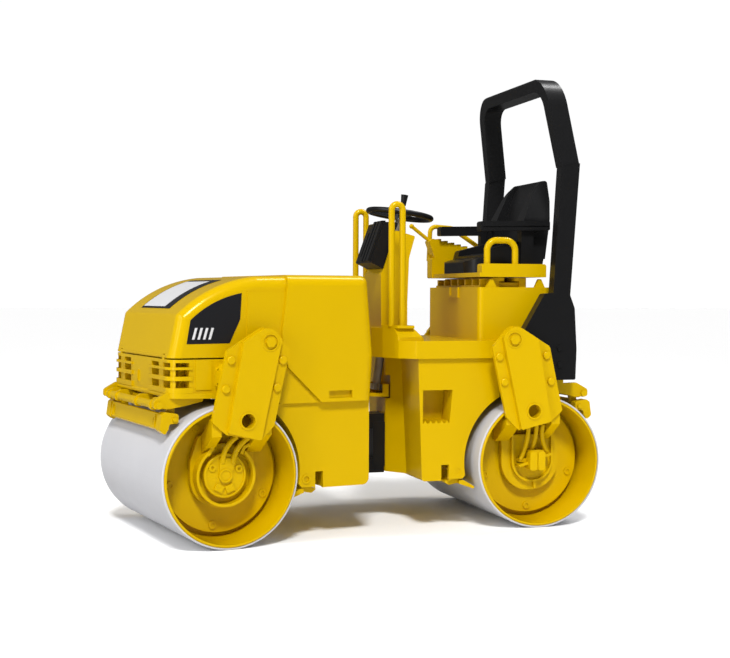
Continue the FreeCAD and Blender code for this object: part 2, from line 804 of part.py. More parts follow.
def hitch_bracket():
    """Two lugs on the rear body that carry the vertical articulation pin."""
    def lug(low, half):
        plan = [(-20, -half, 1), (-20, half, 1), (-10, half, 3), (7, 7, 7), (7, -7, 7), (-10, -half, 3)]
        return prism_z(plan, (low, low + hitch_lug))

    spine = block((-20, -12.5), (-8.5, 8.5), (hitch_low + 4, hitch_high - 5))
    web = block((-18.6, -12.5), (-7.4, 7.4), (hitch_low, hitch_high))
    solid = join(lug(hitch_low, 8.0), lug(hitch_high - hitch_lug, 8.0), spine, web)
    hole = Part.makeCylinder(pin_radius + shaft_clearance, 60, Vector(0, 0, 20), Z_UP)
    return solid.cut(hole)


def knuckle():
    """Block between the lugs, with a trunnion that reaches into the front body."""
    low = hitch_low + hitch_lug + move_gap
    high = hitch_high - hitch_lug - move_gap
    core = Part.makeCylinder(8.0, high - low, Vector(0, 0, low), Z_UP)
    nose = block((0, 11.5), (-8, 8), (low, high))
    trunnion = Part.makeCylinder(
        trunnion_radius, 31.6, Vector(0, 0, trunnion_z), Vector(1, 0, 0)
    )
    hole = Part.makeCylinder(pin_radius, 60, Vector(0, 0, 20), Z_UP)
    screw_hole = Part.makeCylinder(1.5, 12, Vector(22, 0, trunnion_z), Vector(1, 0, 0))
    return join(core, nose, trunnion).cut(hole).cut(screw_hole)


def trunnion_cap():
    """Washer and screw that keep the trunnion in the front body."""
    start = Vector(31.6, 0, trunnion_z)
    washer = Part.makeCylinder(9.4, 1.8, start, Vector(1, 0, 0))
    head = Part.makeCylinder(3.4, 2.6, start + Vector(1.5, 0, 0), Vector(1, 0, 0))
    shank = Part.makeCylinder(1.5, 9, start - Vector(8.5, 0, 0), Vector(1, 0, 0))
    return join(washer, head, shank)


def articulation_pin():
    """Steel pin fast in the knuckle and the steering sector, free in the lugs."""
    length = hitch_high + 10.2 - hitch_low
    shank = Part.makeCylinder(pin_radius, length, Vector(0, 0, hitch_low - 0.6), Z_UP)
    head = Part.makeCylinder(4.4, 1.8, Vector(0, 0, hitch_low - 2.3), Z_UP)
    return join(shank, head)


def toothed_outline(teeth, inner, outer, inner_share, outer_share):
    """Star outline whose lobes fill the given shares of the tooth pitch at two radii."""
    points = []
    pitch = 2 * math.pi / teeth
    for k in range(teeth):
        for side, radius, share in (
            (-0.5, inner, inner_share),
            (-0.5, outer, outer_share),
            (0.5, outer, outer_share),
            (0.5, inner, inner_share),
        ):
            angle = (k + side * share) * pitch
            points.append((radius * math.cos(angle), radius * math.sin(angle)))
    return points


def pinion():
    """Eight-tooth pinion on the foot of the steering shaft."""
    points = toothed_outline(
        pinion_teeth, pinion_pitch_radius - 1.4, pinion_pitch_radius + 0.6, 0.54, 0.22
    )
    gear = prism_z(points, (-1.8, 1.8))
    gear.rotate(ORIGIN, Z_UP, steer_at_rest * sector_teeth / pinion_teeth)
    gear.rotate(ORIGIN, ALONG_Y, -column_rake)
    gear.translate(on_shaft(pinion_z))
    return gear


def steering_shaft():
    """Grey shaft from the steering wheel down to the pinion, in one piece with it."""
    lower = rod(on_shaft(pinion_z + 1.6), on_shaft(deck_bottom - 1), 2.5)
    upper = rod(on_shaft(deck_bottom - 2), on_shaft(wheel_centre.z - 1.0), 2.2)
    return join(lower, upper, pinion())


def steering_sector():
    """Internal-toothed sector on the articulation pin, in mesh with the pinion."""
    low = hitch_high + 0.5
    floor = pinion_z - 5.4
    rim_top = pinion_z + 2.2
    hub = Part.makeCylinder(6.2, floor + 2.0 - low, Vector(0, 0, low), Z_UP)
    reach = 40.0
    wedge = Part.makeCylinder(sector_rim_radius, 2.0, Vector(0, 0, floor), Z_UP, 2 * reach)
    wedge.rotate(ORIGIN, Z_UP, 180 - reach)
    ring = Part.makeCylinder(sector_rim_radius, rim_top - floor, Vector(0, 0, floor), Z_UP, 2 * reach)
    ring.rotate(ORIGIN, Z_UP, 180 - reach)
    space = toothed_outline(
        sector_teeth, sector_pitch_radius - 0.5, sector_pitch_radius + 1.4, 0.77, 0.6
    )
    bore = prism_z(space, (floor + 2.0, rim_top + 1))
    ring = ring.cut(bore)
    hub_hole = Part.makeCylinder(pin_radius, 40, Vector(0, 0, 50), Z_UP)
    return join(hub, wedge, ring).cut(hub_hole)


# ------------------------------------------------------------------ rear half
def rear_chassis():
    """Lower rear body with the footstep recesses and the deck over the rear drum."""
    solid = lower_body(
        [
            (26.8, deck_bottom),
            (tail, deck_bottom),
            (tail, 29.6),
            (48.2, 29.6, 1.5),
            (46.2, ground_clearance),
            (29.4, ground_clearance, 2),
        ]
    )
    solid = solid.cut(block((78, 130), (-70, 70), (20, 81.0)))
    inner_half = body_half_width - wall
    hollow = block((29.0 + wall, 118), (-inner_half, inner_half), (40 + wall, deck_bottom - wall))
    hollow = hollow.cut(disc_y(axle_reach, drum_radius, arch_radius + wall, (-70, 70)))
    belly = block((29.4 + wall, 40.4 - wall), (-inner_half, inner_half), (ground_clearance + wall, 50))
    solid = solid.cut(hollow).cut(belly)
    nose = prism_z([(30, -23), (20, -9, 2), (20, 9, 2), (30, 23)], (ground_clearance + 1, deck_bottom))
    step_box = prism_y(
        [(29.0, 60.4), (29.0, 84.0), (50.2, 84.0), (49.0, 60.4)],
        (body_half_width - 16, body_half_width - 0.5),
    )
    solid = join(solid, nose, step_box, other_side(step_box))
    solid = solid.common(block((19, 130), (-body_half_width, body_half_width), (20, 110)))
    step_hollow = prism_y(
        [(29.8, 62.6), (29.8, 82.0), (48.2, 82.0), (46.4, 62.6)],
        (body_half_width - 14, body_half_width + 5),
    )
    treads = [
        prism_y(
            [(29.6 + 3.4 * k, 61.4), (31.3 + 3.4 * k, 64.2), (33.0 + 3.4 * k, 61.4)],
            (body_half_width - 14.2, body_half_width),
        )
        for k in range(5)
    ]
    step_hollow = step_hollow.cut(Part.makeCompound(treads))
    solid = solid.cut(step_hollow).cut(other_side(step_hollow))
    solid = to_rear(solid)
    sector_space = Part.makeCylinder(sector_rim_radius + 0.8, 14, Vector(0, 0, pinion_z - 6.4), Z_UP)
    shaft_space = rod(on_shaft(pinion_z), on_shaft(deck_bottom + 5), 5.4)
    hub_space = Part.makeCylinder(9, 20, Vector(0, 0, hitch_high), Z_UP)
    return solid.cut(sector_space).cut(shaft_space).cut(hub_space)


toe_top = 118.0
deck_front = [
    (-16.6, 44.0, 2),
    (-11.0, 31.0, 4),
    (-8.0, 18.0, 6),
    (-8.0, -18.0, 6),
    (-11.0, -31.0, 4),
    (-16.6, -44.0, 2),
]
toe_plan = deck_front + [(-33.0, -44.0, 2), (-33.0, 44.0, 2)]


def platform():
    """Operator's deck with a raised toe board."""
    half = deck_half_width
    corners = [(-24.8, -half, 1.5), (-tail, -half, 1), (-tail, half, 1), (-24.8, half, 1.5)]
    deck = prism_z(deck_front + corners, (deck_bottom, deck_top))
    toe = prism_z(toe_plan, (deck_top - 1, toe_top))
    toe = toe.common(
        prism_x([(-45, 100), (-45, 111.5), (-39, 120), (39, 120), (45, 111.5), (45, 100)], (-40, 0))
    )
    slope = prism_y(
        [(-27.0, toe_top), (-33.2, deck_top), (-40, deck_top), (-40, 120), (-27, 120)], (17, 50)
    )
    toe = toe.cut(slope).cut(other_side(slope))
    under = block((wall - tail, -36), (wall - half, half - wall), (deck_bottom - 1, deck_top - wall))
    bearing = rod(on_shaft(deck_bottom - 5), on_shaft(deck_bottom + 25), 2.2 + shaft_clearance)
    lower_room = rod(on_shaft(deck_bottom - 8), on_shaft(deck_bottom + 0.6), 3.4)
    return join(deck, toe).cut(under).cut(bearing).cut(lower_room)


def pedestal():
    """Box that carries the seat station, with four small gussets and a catch on its front."""
    plan = [(-67, -44, 3), (-67, 44, 3), (-117, 44, 2), (-117, -44, 2)]
    solid = prism_z(plan, (deck_top, pedestal_top))
    inner = [(-69, -42, 2), (-69, 42, 2), (-115, 42, 1), (-115, -42, 1)]
    solid = solid.cut(prism_z(inner, (deck_top - 1, pedestal_top - wall)))
    catch = block((-67.5, -66.2), (-4.6, 10.6), (136.0, pedestal_top))
    catch = catch.cut(block((-66.8, -66.0), (-3.2, 9.2), (137.4, pedestal_top + 1)))
    gussets = []
    for x in (-75.2, -106.7):
        gusset = prism_y(
            [
                (x + 3.4, pedestal_top - 0.5),
                (x + 0.8, 147.4, 0.8),
                (x - 0.8, 147.4, 0.8),
                (x - 3.4, pedestal_top - 0.5),
            ],
            (40.8, 43.4),
        )
        gussets += [gusset, other_side(gusset)]
    return join(solid, catch, *gussets)


def seat_rail():
    """Cross slide between pedestal and tray: two lipped ways, end stops and ribs."""
    low, top = pedestal_top, tray_bottom - move_gap
    ways = []
    for outer, inner, lip in ((-99, -94.6, -91.4), (-77, -81.4, -84.6)):
        ways.append(block((outer, inner), (-40, 40), (low, top)))
        ways.append(block((outer, lip), (-40, 40), (low + 3.6, top)))
    stops = [block((-99, -77), (side * 35, side * 38), (low, low + 2.8)) for side in (1, -1)]
    sill = block((-77, -70), (-38, 38), (low, low + 1.2))
    ribs = [
        block((-77, -70.5), (y - 1, y + 1), (low, top - 0.8)) for y in (-36, -24, -12, 0, 12, 24, 36)
    ]
    solid = join(sill, *ways, *stops, *ribs)
    return solid


def handrail():
    """Tall hairpin handrail beside the steering column, left side, on its foot plate."""
    y = 36.7
    tube_radius = 1.85
    foot = 119.0
    front, back = -14.5, -21.3
    bend = (front - back) / 2
    top = 192.6 - tube_radius
    tube = bent_tube(
        [
            Vector(front, y, foot),
            Vector(front, y, top),
            Vector(back, y, top),
            Vector(back, y, foot),
        ],
        tube_radius,
        bend - 0.02,
    )
    plate = prism_z(toe_plan, (toe_top, toe_top + 1.6))
    plate = plate.common(block((-26.6, 0), (29.5, 43.5), (toe_top - 1, toe_top + 5)))
    return join(tube, plate)


def steering_column():
    """Hollow column between toe board and steering wheel, flared at the top."""
    solid = prism_y(
        [
            (-14.8, 118.0),
            (-14.4, 150.0, 2),
            (-16.4, 153.4),
            (-23.6, 176.6, 1),
            (-36.2, 173.2, 1),
            (-32.4, 160.0, 8),
            (-31.4, 134.0, 20),
            (-31.4, 118.0),
        ],
        (-16.5, 16.5),
    )
    return solid.cut(rod(on_shaft(110), on_shaft(180), 3.4))


def dash_cover():
    """Black cover on the front of the column's head: three ridges beside a slotted panel."""
    body = prism_y(
        [(-8.0, 157.2, 1), (-16.8, 181.6, 1.5), (-26.6, 181.4, 1.5), (-23.8, 177.0), (-16.0, 153.4)],
        (-15.5, 15.5),
    )
    ridges = []
    for y, half in ((0.6, 1.6), (6.4, 1.6), (12.4, 2.2)):
        ridges.append(
            prism_y(
                [(-6.4, 157.8, 0.5), (-15.4, 182.4, 0.5), (-18, 182.4), (-11, 157.4)],
                (y - half, y + half),
            )
        )
    slot = prism_y(
        [(-10.6, 161.0, 0.8), (-15.6, 175.0, 0.8), (-12.0, 177.0), (-6.0, 161.0)], (-9.4, -6.6)
    )
    return join(body, *ridges).cut(slot)


def steering_wheel():
    """Rim, three spokes and a dished hub, square to the raked shaft."""
    rim = Part.makeTorus(19.3, 1.75, ORIGIN, Z_UP)
    hub = Part.makeCone(4.6, 3.2, 4.4, Vector(0, 0, -3.4), Z_UP)
    spokes = []
    for turn in (90, 210, 330):
        spoke = prism_y([(2.5, -2.2), (19.0, -0.9), (19.0, 0.7), (2.5, 0.6)], (-1.9, 1.9))
        spoke.rotate(ORIGIN, Z_UP, turn)
        spokes.append(spoke)
    wheel = join(rim, hub, *spokes)
    wheel.rotate(ORIGIN, ALONG_Y, -column_rake)
    wheel.translate(wheel_centre)
    return wheel.cut(rod(on_shaft(170), on_shaft(wheel_centre.z - 1.0), 2.2))


def steering_knob():
    """Spinner knob that stands on the rim."""
    around = math.radians(76)
    seat_point = Vector(19.3 * math.cos(around), 19.3 * math.sin(around), 0)
    stem = Part.makeCylinder(1.1, 3.0, seat_point + Vector(0, 0, 1.2), Z_UP)
    grip = Part.makeCone(1.5, 2.2, 6.6, seat_point + Vector(0, 0, 3.6), Z_UP)
    knob = join(stem, grip)
    knob.rotate(ORIGIN, ALONG_Y, -column_rake)
    knob.translate(wheel_centre)
    return knob.cut(steering_wheel())


def roll_hoop():
    """Roll-over hoop of box section with its two side gussets."""
    outer, inner = 59.4, deck_half_width
    post = prism_y(
        [(-105.8, 106), (-108.0, 139), (-112.8, 213.6), (-124.7, 216.2), (-119.0, 138), (-118.0, 106)],
        (inner, outer),
    )
    gusset = prism_y(
        [
            (-107.8, 139.0),
            (-102.4, 138.6, 1.5),
            (-89.2, 116.4, 1),
            (-90.6, 104.0, 2),
            (-97.0, 87.4, 1),
            (-122.8, 87.4, 1),
            (-123.4, 106.0, 10),
            (-122.0, 130.0, 5),
            (-118.9, 138.0),
        ],
        (inner, outer),
    )
    side_view = prism_y(
        [(-112.8, 213.6), (-104.0, 268.2, 1.5), (-115.9, 268.2, 1.5), (-124.7, 216.2)], (-70, 70)
    )
    ring_out = [(outer, 205), (52.0, 268.2, 19), (-52.0, 268.2, 19), (-outer, 205)]
    ring_in = [(inner + 0.3, 204), (45.0, 260.6, 12), (-45.0, 260.6, 12), (-inner - 0.3, 204)]
    front_view = prism_x(ring_out, (-140, -90)).cut(prism_x(ring_in, (-145, -85)))
    crown = side_view.common(front_view)
    return join(crown, post, gusset, other_side(post), other_side(gusset))


def rear_panel():
    """Black louvred panel between the gussets."""
    panel = prism_y(
        [(-tail, 87.6), (-tail, 128, 0.8), (-122.0, 128, 0.8), (-123.4, 106, 10), (-122.8, 87.6)],
        (0.1 - deck_half_width, deck_half_width - 0.1),
    )
    louvres = []
    for k in range(3):
        z = 92.9 + 6.0 * k
        louvres.append(
            prism_y([(-122.0, z), (-127.4, z + 0.5), (-127.4, z + 1.8), (-122.0, z + 3.2)], (-50, 50))
        )
    return join(panel, *louvres)


def hoop_bolts():
    """Round-headed bolts through the gussets."""
    heads = []
    for x, z in ((-112.2, 106.4), (-112.3, 96.3), (-99.0, 96.3)):
        head = disc_y(x, z, 1.7, (59.4, 60.4))
        heads += [head, other_side(head)]
    return Part.makeCompound(heads)


def seat_tray():
    """Sliding tray with a raised block on each side and a T-shaped runner below."""
    floor = block((-110, -67), (-45, 45), (tray_bottom, tray_bottom + 2.6))
    left = prism_y(
        [(-68.2, tray_bottom, 1), (-68.2, 156.4, 1.5), (-110, 156.4, 1.5), (-110, tray_bottom, 1)],
        (37.8, 45.0),
    )
    right = prism_y(
        [(-66.2, tray_bottom, 1), (-66.2, 162, 1), (-104, 158, 1.5), (-104, tray_bottom, 1)],
        (-45.0, -36.0),
    )
    stem = block((-90.4, -85.6), (-28, 28), (pedestal_top + 0.6, tray_bottom + 1))
    foot = block((-93.8, -82.2), (-28, 28), (pedestal_top + 0.6, pedestal_top + 3.0))
    return join(floor, left, right, stem, foot)


def seat_handrail():
    """Low tubular handrail on the tray's left block."""
    y = 42.0
    front, back, top, foot = -72.7, -90.8, 170.4, 156.0
    return bent_tube(
        [Vector(front, y, foot), Vector(front, y, top), Vector(back, y, top), Vector(back, y, foot)],
        1.95,
        6.2,
    ).cut(block((-120, -60), (30, 50), (150, 156.4)))


def console():
    """Control console on the tray's right block, with its grab handle and drive lever."""
    body = prism_y(
        [(-68.6, 161.0), (-64.4, 172.6, 1), (-67.0, 174.4, 1), (-95.0, 167.6, 2), (-99.0, 157.4)],
        (-45.0, -36.4),
    )
    ridges = []
    for k in range(5):
        x = -72.0 - 4.6 * k
        z = 173.4 - 1.12 * k
        ridges.append(block((x - 1.1, x + 1.1), (-44.2, -37.2), (z - 3, z + 0.9)))
    lever = rod(Vector(-68.5, -41.5, 171.5), Vector(-54.0, -41.5, 182.4), 1.2)
    tip = Part.makeSphere(1.6, Vector(-54.0, -41.5, 182.4))
    handle = bent_tube(
        [
            Vector(-68.0, -47.0, 160.0),
            Vector(-69.0, -47.0, 183.0),
            Vector(-84.0, -47.0, 182.0),
            Vector(-106.0, -47.0, 168.0),
            Vector(-103.0, -47.0, 152.0),
        ],
        1.5,
        4.0,
    )
    lug = block((-104.6, -101.4), (-47.0, -43.0), (152.0, 155.0))
    front_lug = block((-69.6, -66.6), (-47.0, -43.0), (160.0, 163.5))
    return join(body, lever, tip, handle, lug, front_lug, *ridges).cut(
        block((-104, -66.2), (-45, -36), (140, 158))
    ).cut(seat_tray())


def seat():
    """Black bucket seat: cushion and winged backrest in one moulding."""
    low = tray_bottom + 2.6
    cushion = prism_y(
        [(-67.8, low), (-67.4, 158.2, 1.5), (-82, 161.8, 30), (-101, 164.6), (-110, low)], (-26, 26)
    )
    plan = prism_z([(-67.4, -26, 12), (-67.4, 26, 12), (-112, 26, 2), (-112, -26, 2)], (low - 1, 170))
    cushion = cushion.common(plan)
    pan = prism_y([(-76, low), (-80, 166, 2), (-104, 172, 3), (-117, 172), (-113.6, low)], (-30, 30))
    back = prism_y(
        [(-100, 160), (-102.4, 183, 8), (-111.4, 202.6, 20), (-117.4, 208.6, 2.5), (-121.4, 209.0, 1.5),
         (-121.6, 196, 10), (-117.0, 160)],
        (-28, 28),
    )
    crown = prism_x(
        [(-28, 150), (-28, 184, 12), (-19.5, 212, 5), (19.5, 212, 5), (28, 184, 12), (28, 150)],
        (-130, -95),
    )
    back = back.common(crown)
    dish = prism_y(
        [(-90, 161.5), (-104.5, 165, 3), (-112.6, 196, 30), (-121, 214), (-90, 214)], (-17, 17)
    )
    seat_dish = prism_y([(-74, 161.6), (-103, 166), (-103, 180), (-74, 180)], (-22, 22))
    return join(cushion, pan, back).cut(dish).cut(seat_dish)


def armrest():
    """Left armrest with its bracket down to the seat."""
    pad = prism_y(
        [(-70.4, 176.0, 1), (-70.4, 182.0, 1.5), (-115.6, 183.2, 1.5), (-115.6, 177.2, 1)], (31.0, 38.0)
    )
    groove = prism_y([(-72, 178.2), (-72, 178.9), (-115, 180.0), (-115, 179.3)], (37.4, 40))
    bracket = block((-106, -98), (30.0, 35.0), (tray_bottom + 2.6, 177.6))
    stay = block((-115.0, -108.0), (26.5, 32.0), (177.6, 182.2))
    return join(pad.cut(groove), bracket, stay).cut(seat())


# ------------------------------------------------------------------ assembly
def build():
    """All pieces by node name, each in its own half's straight frame."""
    left_strut_front = strut(107.0, deck_half_width - 0.5)
    left_strut_rear = strut(88.0, body_half_width)
    bolts = strut_bolts()
    all_bolts = Part.makeCompound(bolts + [other_side(head) for head in bolts])
    front = {
        "front_chassis": front_chassis(),
        "front_housing": front_housing(),
        "engine_block": engine_block(),
        "front_strut_left": left_strut_front,
        "front_strut_right": other_side(left_strut_front),
        "front_hub_left": ring_hub().cut(left_strut_front),
        "front_hub_right": other_side(block_hub().cut(left_strut_front)),
        "front_strut_bolts": all_bolts,
        "front_strut_pins": both_sides(strut_pin()),
        "front_axle": drum_axle(),
        "front_spray_bar": spray_bar(137.3).cut(front_housing()),
        "front_scraper_pins": scraper_pins(),
        "hood_hinge_pins": hood_hinge_pins(),
        "hood": hood(),
        "front_outer_scraper": outer_scraper(),
        "front_inner_scraper": inner_scraper(),
        "front_drum_sleeve": drum_sleeve(),
        "front_drum_core_left": drum_core_half(62),
        "front_drum_core_right": other_side(drum_core_half(62)),
        "knuckle": knuckle(),
        "trunnion_cap": trunnion_cap(),
        "articulation_pin": articulation_pin(),
        "steering_sector": steering_sector(),
    }
    rear = {
        "rear_chassis": rear_chassis(),
        "platform": platform(),
        "pedestal": pedestal(),
        "seat_rail": seat_rail(),
        "hitch_bracket": hitch_bracket(),
        "rear_strut_left": to_rear(other_side(left_strut_rear)),
        "rear_strut_right": to_rear(left_strut_rear),
        "rear_hub_left": to_rear(other_side(block_hub().cut(left_strut_front))),
        "rear_hub_right": to_rear(ring_hub().cut(left_strut_front)),
        "rear_strut_bolts": to_rear(all_bolts),
        "rear_strut_pins": to_rear(both_sides(strut_pin())),
        "rear_axle": to_rear(drum_axle()),
        "rear_spray_bar": to_rear(spray_bar(133.3)).cut(rear_chassis()),
        "rear_scraper_pins": to_rear(scraper_pins()),
        "rear_outer_scraper": to_rear(outer_scraper()),
        "rear_inner_scraper": to_rear(inner_scraper()),
        "rear_drum_sleeve": to_rear(drum_sleeve()),
        "rear_drum_core_left": to_rear(other_side(drum_core_half(54))),
        "rear_drum_core_right": to_rear(drum_core_half(54)),
        "roll_hoop": roll_hoop(),
        "rear_panel": rear_panel(),
        "hoop_bolts": hoop_bolts(),
        "handrail_left": handrail(),
        "handrail_right": other_side(handrail()),
        "steering_column": steering_column(),
        "dash_cover": dash_cover().cut(steering_column()),
        "steering_shaft": steering_shaft(),
        "steering_wheel": steering_wheel(),
        "steering_knob": steering_knob(),
        "seat_tray": seat_tray(),
        "seat": seat(),
        "armrest_left": armrest(),
        "armrest_right": other_side(armrest()),
        "seat_handrail": seat_handrail(),
        "console": console(),
    }
    for shape in front.values():
        shape.rotate(ORIGIN, Z_UP, steer_at_rest)
    return {**front, **rear}


def shift_to_origin(pieces):
    """Moves all pieces so that the origin is the bottom centre of the whole box."""
    box = Part.makeCompound(list(pieces.values())).optimalBoundingBox(False, False)
    shift = Vector(-box.Center.x, -box.Center.y, -box.ZMin)
    for shape in pieces.values():
        shape.translate(shift)
    return shift


pieces = build()
shift = shift_to_origin(pieces)
os.makedirs("parts", exist_ok=True)
for name, shape in pieces.items():
    shape.exportStep(f"parts/{name}.step")
overall = Part.makeCompound(list(pieces.values())).optimalBoundingBox(False, False)
print(f"shift {shift.x:.3f} {shift.y:.3f} {shift.z:.3f}")
print(f"size {overall.XLength:.1f} {overall.YLength:.1f} {overall.ZLength:.1f}, {len(pieces)} pieces")
for name, shape in pieces.items():
    if not shape.isValid():
        print("not valid:", name)
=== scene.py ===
"""Looks of the toy road roller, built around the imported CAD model. Metres, in the CAD frame."""

import json
import math

import bmesh
import bpy
from mathutils import Matrix, Vector


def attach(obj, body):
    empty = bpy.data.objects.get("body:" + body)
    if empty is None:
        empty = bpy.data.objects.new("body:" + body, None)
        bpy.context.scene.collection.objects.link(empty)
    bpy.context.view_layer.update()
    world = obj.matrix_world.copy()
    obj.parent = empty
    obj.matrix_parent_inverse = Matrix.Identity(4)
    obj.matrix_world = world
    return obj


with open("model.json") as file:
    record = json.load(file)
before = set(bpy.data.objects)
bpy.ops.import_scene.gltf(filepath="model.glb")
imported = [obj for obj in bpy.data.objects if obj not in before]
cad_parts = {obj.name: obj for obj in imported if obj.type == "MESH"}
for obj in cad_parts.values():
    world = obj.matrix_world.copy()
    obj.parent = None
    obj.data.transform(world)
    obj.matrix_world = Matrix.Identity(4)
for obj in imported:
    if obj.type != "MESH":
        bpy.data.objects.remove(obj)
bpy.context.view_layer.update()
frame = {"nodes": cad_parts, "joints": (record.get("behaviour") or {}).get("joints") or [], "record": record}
nodes = frame["nodes"]
joints = {row["name"]: row for row in frame["joints"]}
MM = 0.001
PIN = Vector(joints["articulation"]["pos_m"])
STEER_AT_REST = math.radians(10)
# from the front half drawn straight, with the articulation pin on the Z axis, to its place
FRONT = Matrix.Translation((PIN.x, PIN.y, 0)) @ Matrix.Rotation(STEER_AT_REST, 4, "Z")

# ------------------------------------------------------------------ camera
AIM = PIN + Vector((-9.92, -0.89, 69.5)) * MM
CAMERA_AZIMUTH = math.radians(72.935)      # from +X towards +Y
CAMERA_RISE = math.radians(1.515)
CAMERA_DISTANCE = 0.7892
CAMERA_ROLL = math.radians(0.23)
LENS = 63.3
SENSOR_WIDTH = 36.0


def make_camera():
    data = bpy.data.cameras.new("camera")
    data.lens = LENS
    data.sensor_width = SENSOR_WIDTH
    data.clip_start = 0.01
    data.clip_end = 20.0
    camera = bpy.data.objects.new("camera", data)
    bpy.context.scene.collection.objects.link(camera)
    outward = Vector(
        (
            math.cos(CAMERA_RISE) * math.cos(CAMERA_AZIMUTH),
            math.cos(CAMERA_RISE) * math.sin(CAMERA_AZIMUTH),
            math.sin(CAMERA_RISE),
        )
    )
    look = (-outward).to_track_quat("-Z", "Y").to_matrix().to_4x4()
    camera.matrix_world = (
        Matrix.Translation(AIM + outward * CAMERA_DISTANCE)
        @ look
        @ Matrix.Rotation(CAMERA_ROLL, 4, "Z")
    )
    bpy.context.scene.camera = camera


# ------------------------------------------------------------------ studio
FLOOR_REACH = 12.0
BACKDROP = 1.02                            # brightness of the white room to the camera
WORLD_GLOW = 0.25                          # of the same room as light on the object
WORLD_SHEEN = 0.12                         # and as seen in the object's gloss


def make_floor():
    """Pale floor that runs far past the view, and doesn't show in the object's gloss."""
    corners = [(-1, -1), (1, -1), (1, 1), (-1, 1)]
    mesh = bpy.data.meshes.new("floor")
    mesh.from_pydata([(x * FLOOR_REACH, y * FLOOR_REACH, 0) for x, y in corners], [], [(0, 1, 2, 3)])
    floor = bpy.data.objects.new("floor", mesh)
    bpy.context.scene.collection.objects.link(floor)
    material = bpy.data.materials.new("floor")
    material.use_nodes = True
    shader = material.node_tree.nodes["Principled BSDF"]
    shader.inputs["Base Color"].default_value = (0.98, 0.98, 0.98, 1)
    shader.inputs["Roughness"].default_value = 0.7
    shader.inputs["Specular IOR Level"].default_value = 0.1
    floor.data.materials.append(material)
    floor.visible_glossy = False


def aim(light, place, target):
    light.location = place
    light.rotation_euler = (Vector(target) - Vector(place)).to_track_quat("-Z", "Y").to_euler()
    bpy.context.scene.collection.objects.link(light)


def soft_sun(name, place, strength, angle):
    """Wide, even light, so that the floor is as bright far away as it is near."""
    data = bpy.data.lights.new(name, "SUN")
    data.energy = strength
    data.angle = math.radians(angle)
    aim(bpy.data.objects.new(name, data), place, (0, 0, 0))


def softbox(name, place, size, power):
    """Rectangular lamp that draws a highlight along the edges facing it."""
    data = bpy.data.lights.new(name, "AREA")
    data.shape = "RECTANGLE"
    data.size, data.size_y = size
    data.energy = power
    aim(bpy.data.objects.new(name, data), place, (0, 0, 0.1))


def make_world():
    """White backdrop to the camera, a dimmer even glow on the object, and darker in its gloss."""
    world = bpy.data.worlds.new("studio")
    world.use_nodes = True
    tree = world.node_tree
    path = tree.nodes.new("ShaderNodeLightPath")
    on_object = tree.nodes.new("ShaderNodeMapRange")
    on_object.inputs["To Min"].default_value = WORLD_GLOW
    on_object.inputs["To Max"].default_value = WORLD_SHEEN
    tree.links.new(path.outputs["Is Glossy Ray"], on_object.inputs["Value"])
    level = tree.nodes.new("ShaderNodeMapRange")
    tree.links.new(on_object.outputs["Result"], level.inputs["To Min"])
    level.inputs["To Max"].default_value = BACKDROP
    tree.links.new(path.outputs["Is Camera Ray"], level.inputs["Value"])
    background = tree.nodes["Background"]
    background.inputs["Color"].default_value = (1, 1, 1, 1)
    tree.links.new(level.outputs["Result"], background.inputs["Strength"])
    bpy.context.scene.world = world


def make_studio():
    make_floor()
    make_world()
    soft_sun("sun", place=(0.25, 0.95, 1.1), strength=2.85, angle=11)
    soft_sun("front fill", place=(1.2, 0.3, 0.7), strength=0.95, angle=35)
    softbox("edge strip", place=(0.85, 0.62, 0.32), size=(0.07, 0.6), power=1.6)
    softbox("roof strip", place=(-0.45, -0.05, 0.95), size=(0.1, 0.5), power=4.0)
    view = bpy.context.scene.view_settings
    view.view_transform = "Standard"
    view.look = "None"


# ------------------------------------------------------------------ materials
YELLOW = (0.575, 0.365, 0.0)
BLACK = (0.007, 0.007, 0.0075)
GREY = (0.5, 0.5, 0.52)
STEEL = (0.5, 0.5, 0.52)
SHAFT_BROWN = (0.25, 0.22, 0.18)
PRINT_BLACK = (0.012, 0.012, 0.014)
PRINT_PALE = (0.62, 0.62, 0.63)
WHITE_TINT = (1.0, 1.0, 1.0)
WARM_TINT = (1.0, 0.86, 0.35)              # highlights on the yellow stay yellow

MOTTLING = 0.04                            # share of the colour by which it drifts
GLOSS_LOW, GLOSS_HIGH = 0.8, 1.25          # shares of the roughness
DRIFT_PER_METRE = 14.0
SMEARS_PER_METRE = 60.0
GRAIN_STRENGTH = 0.6


def noise(tree, place, scale, detail):
    """Noise in the piece's own space."""
    texture = tree.nodes.new("ShaderNodeTexNoise")
    texture.inputs["Scale"].default_value = scale
    texture.inputs["Detail"].default_value = detail
    tree.links.new(place.outputs["Object"], texture.inputs["Vector"])
    return texture.outputs["Fac"]


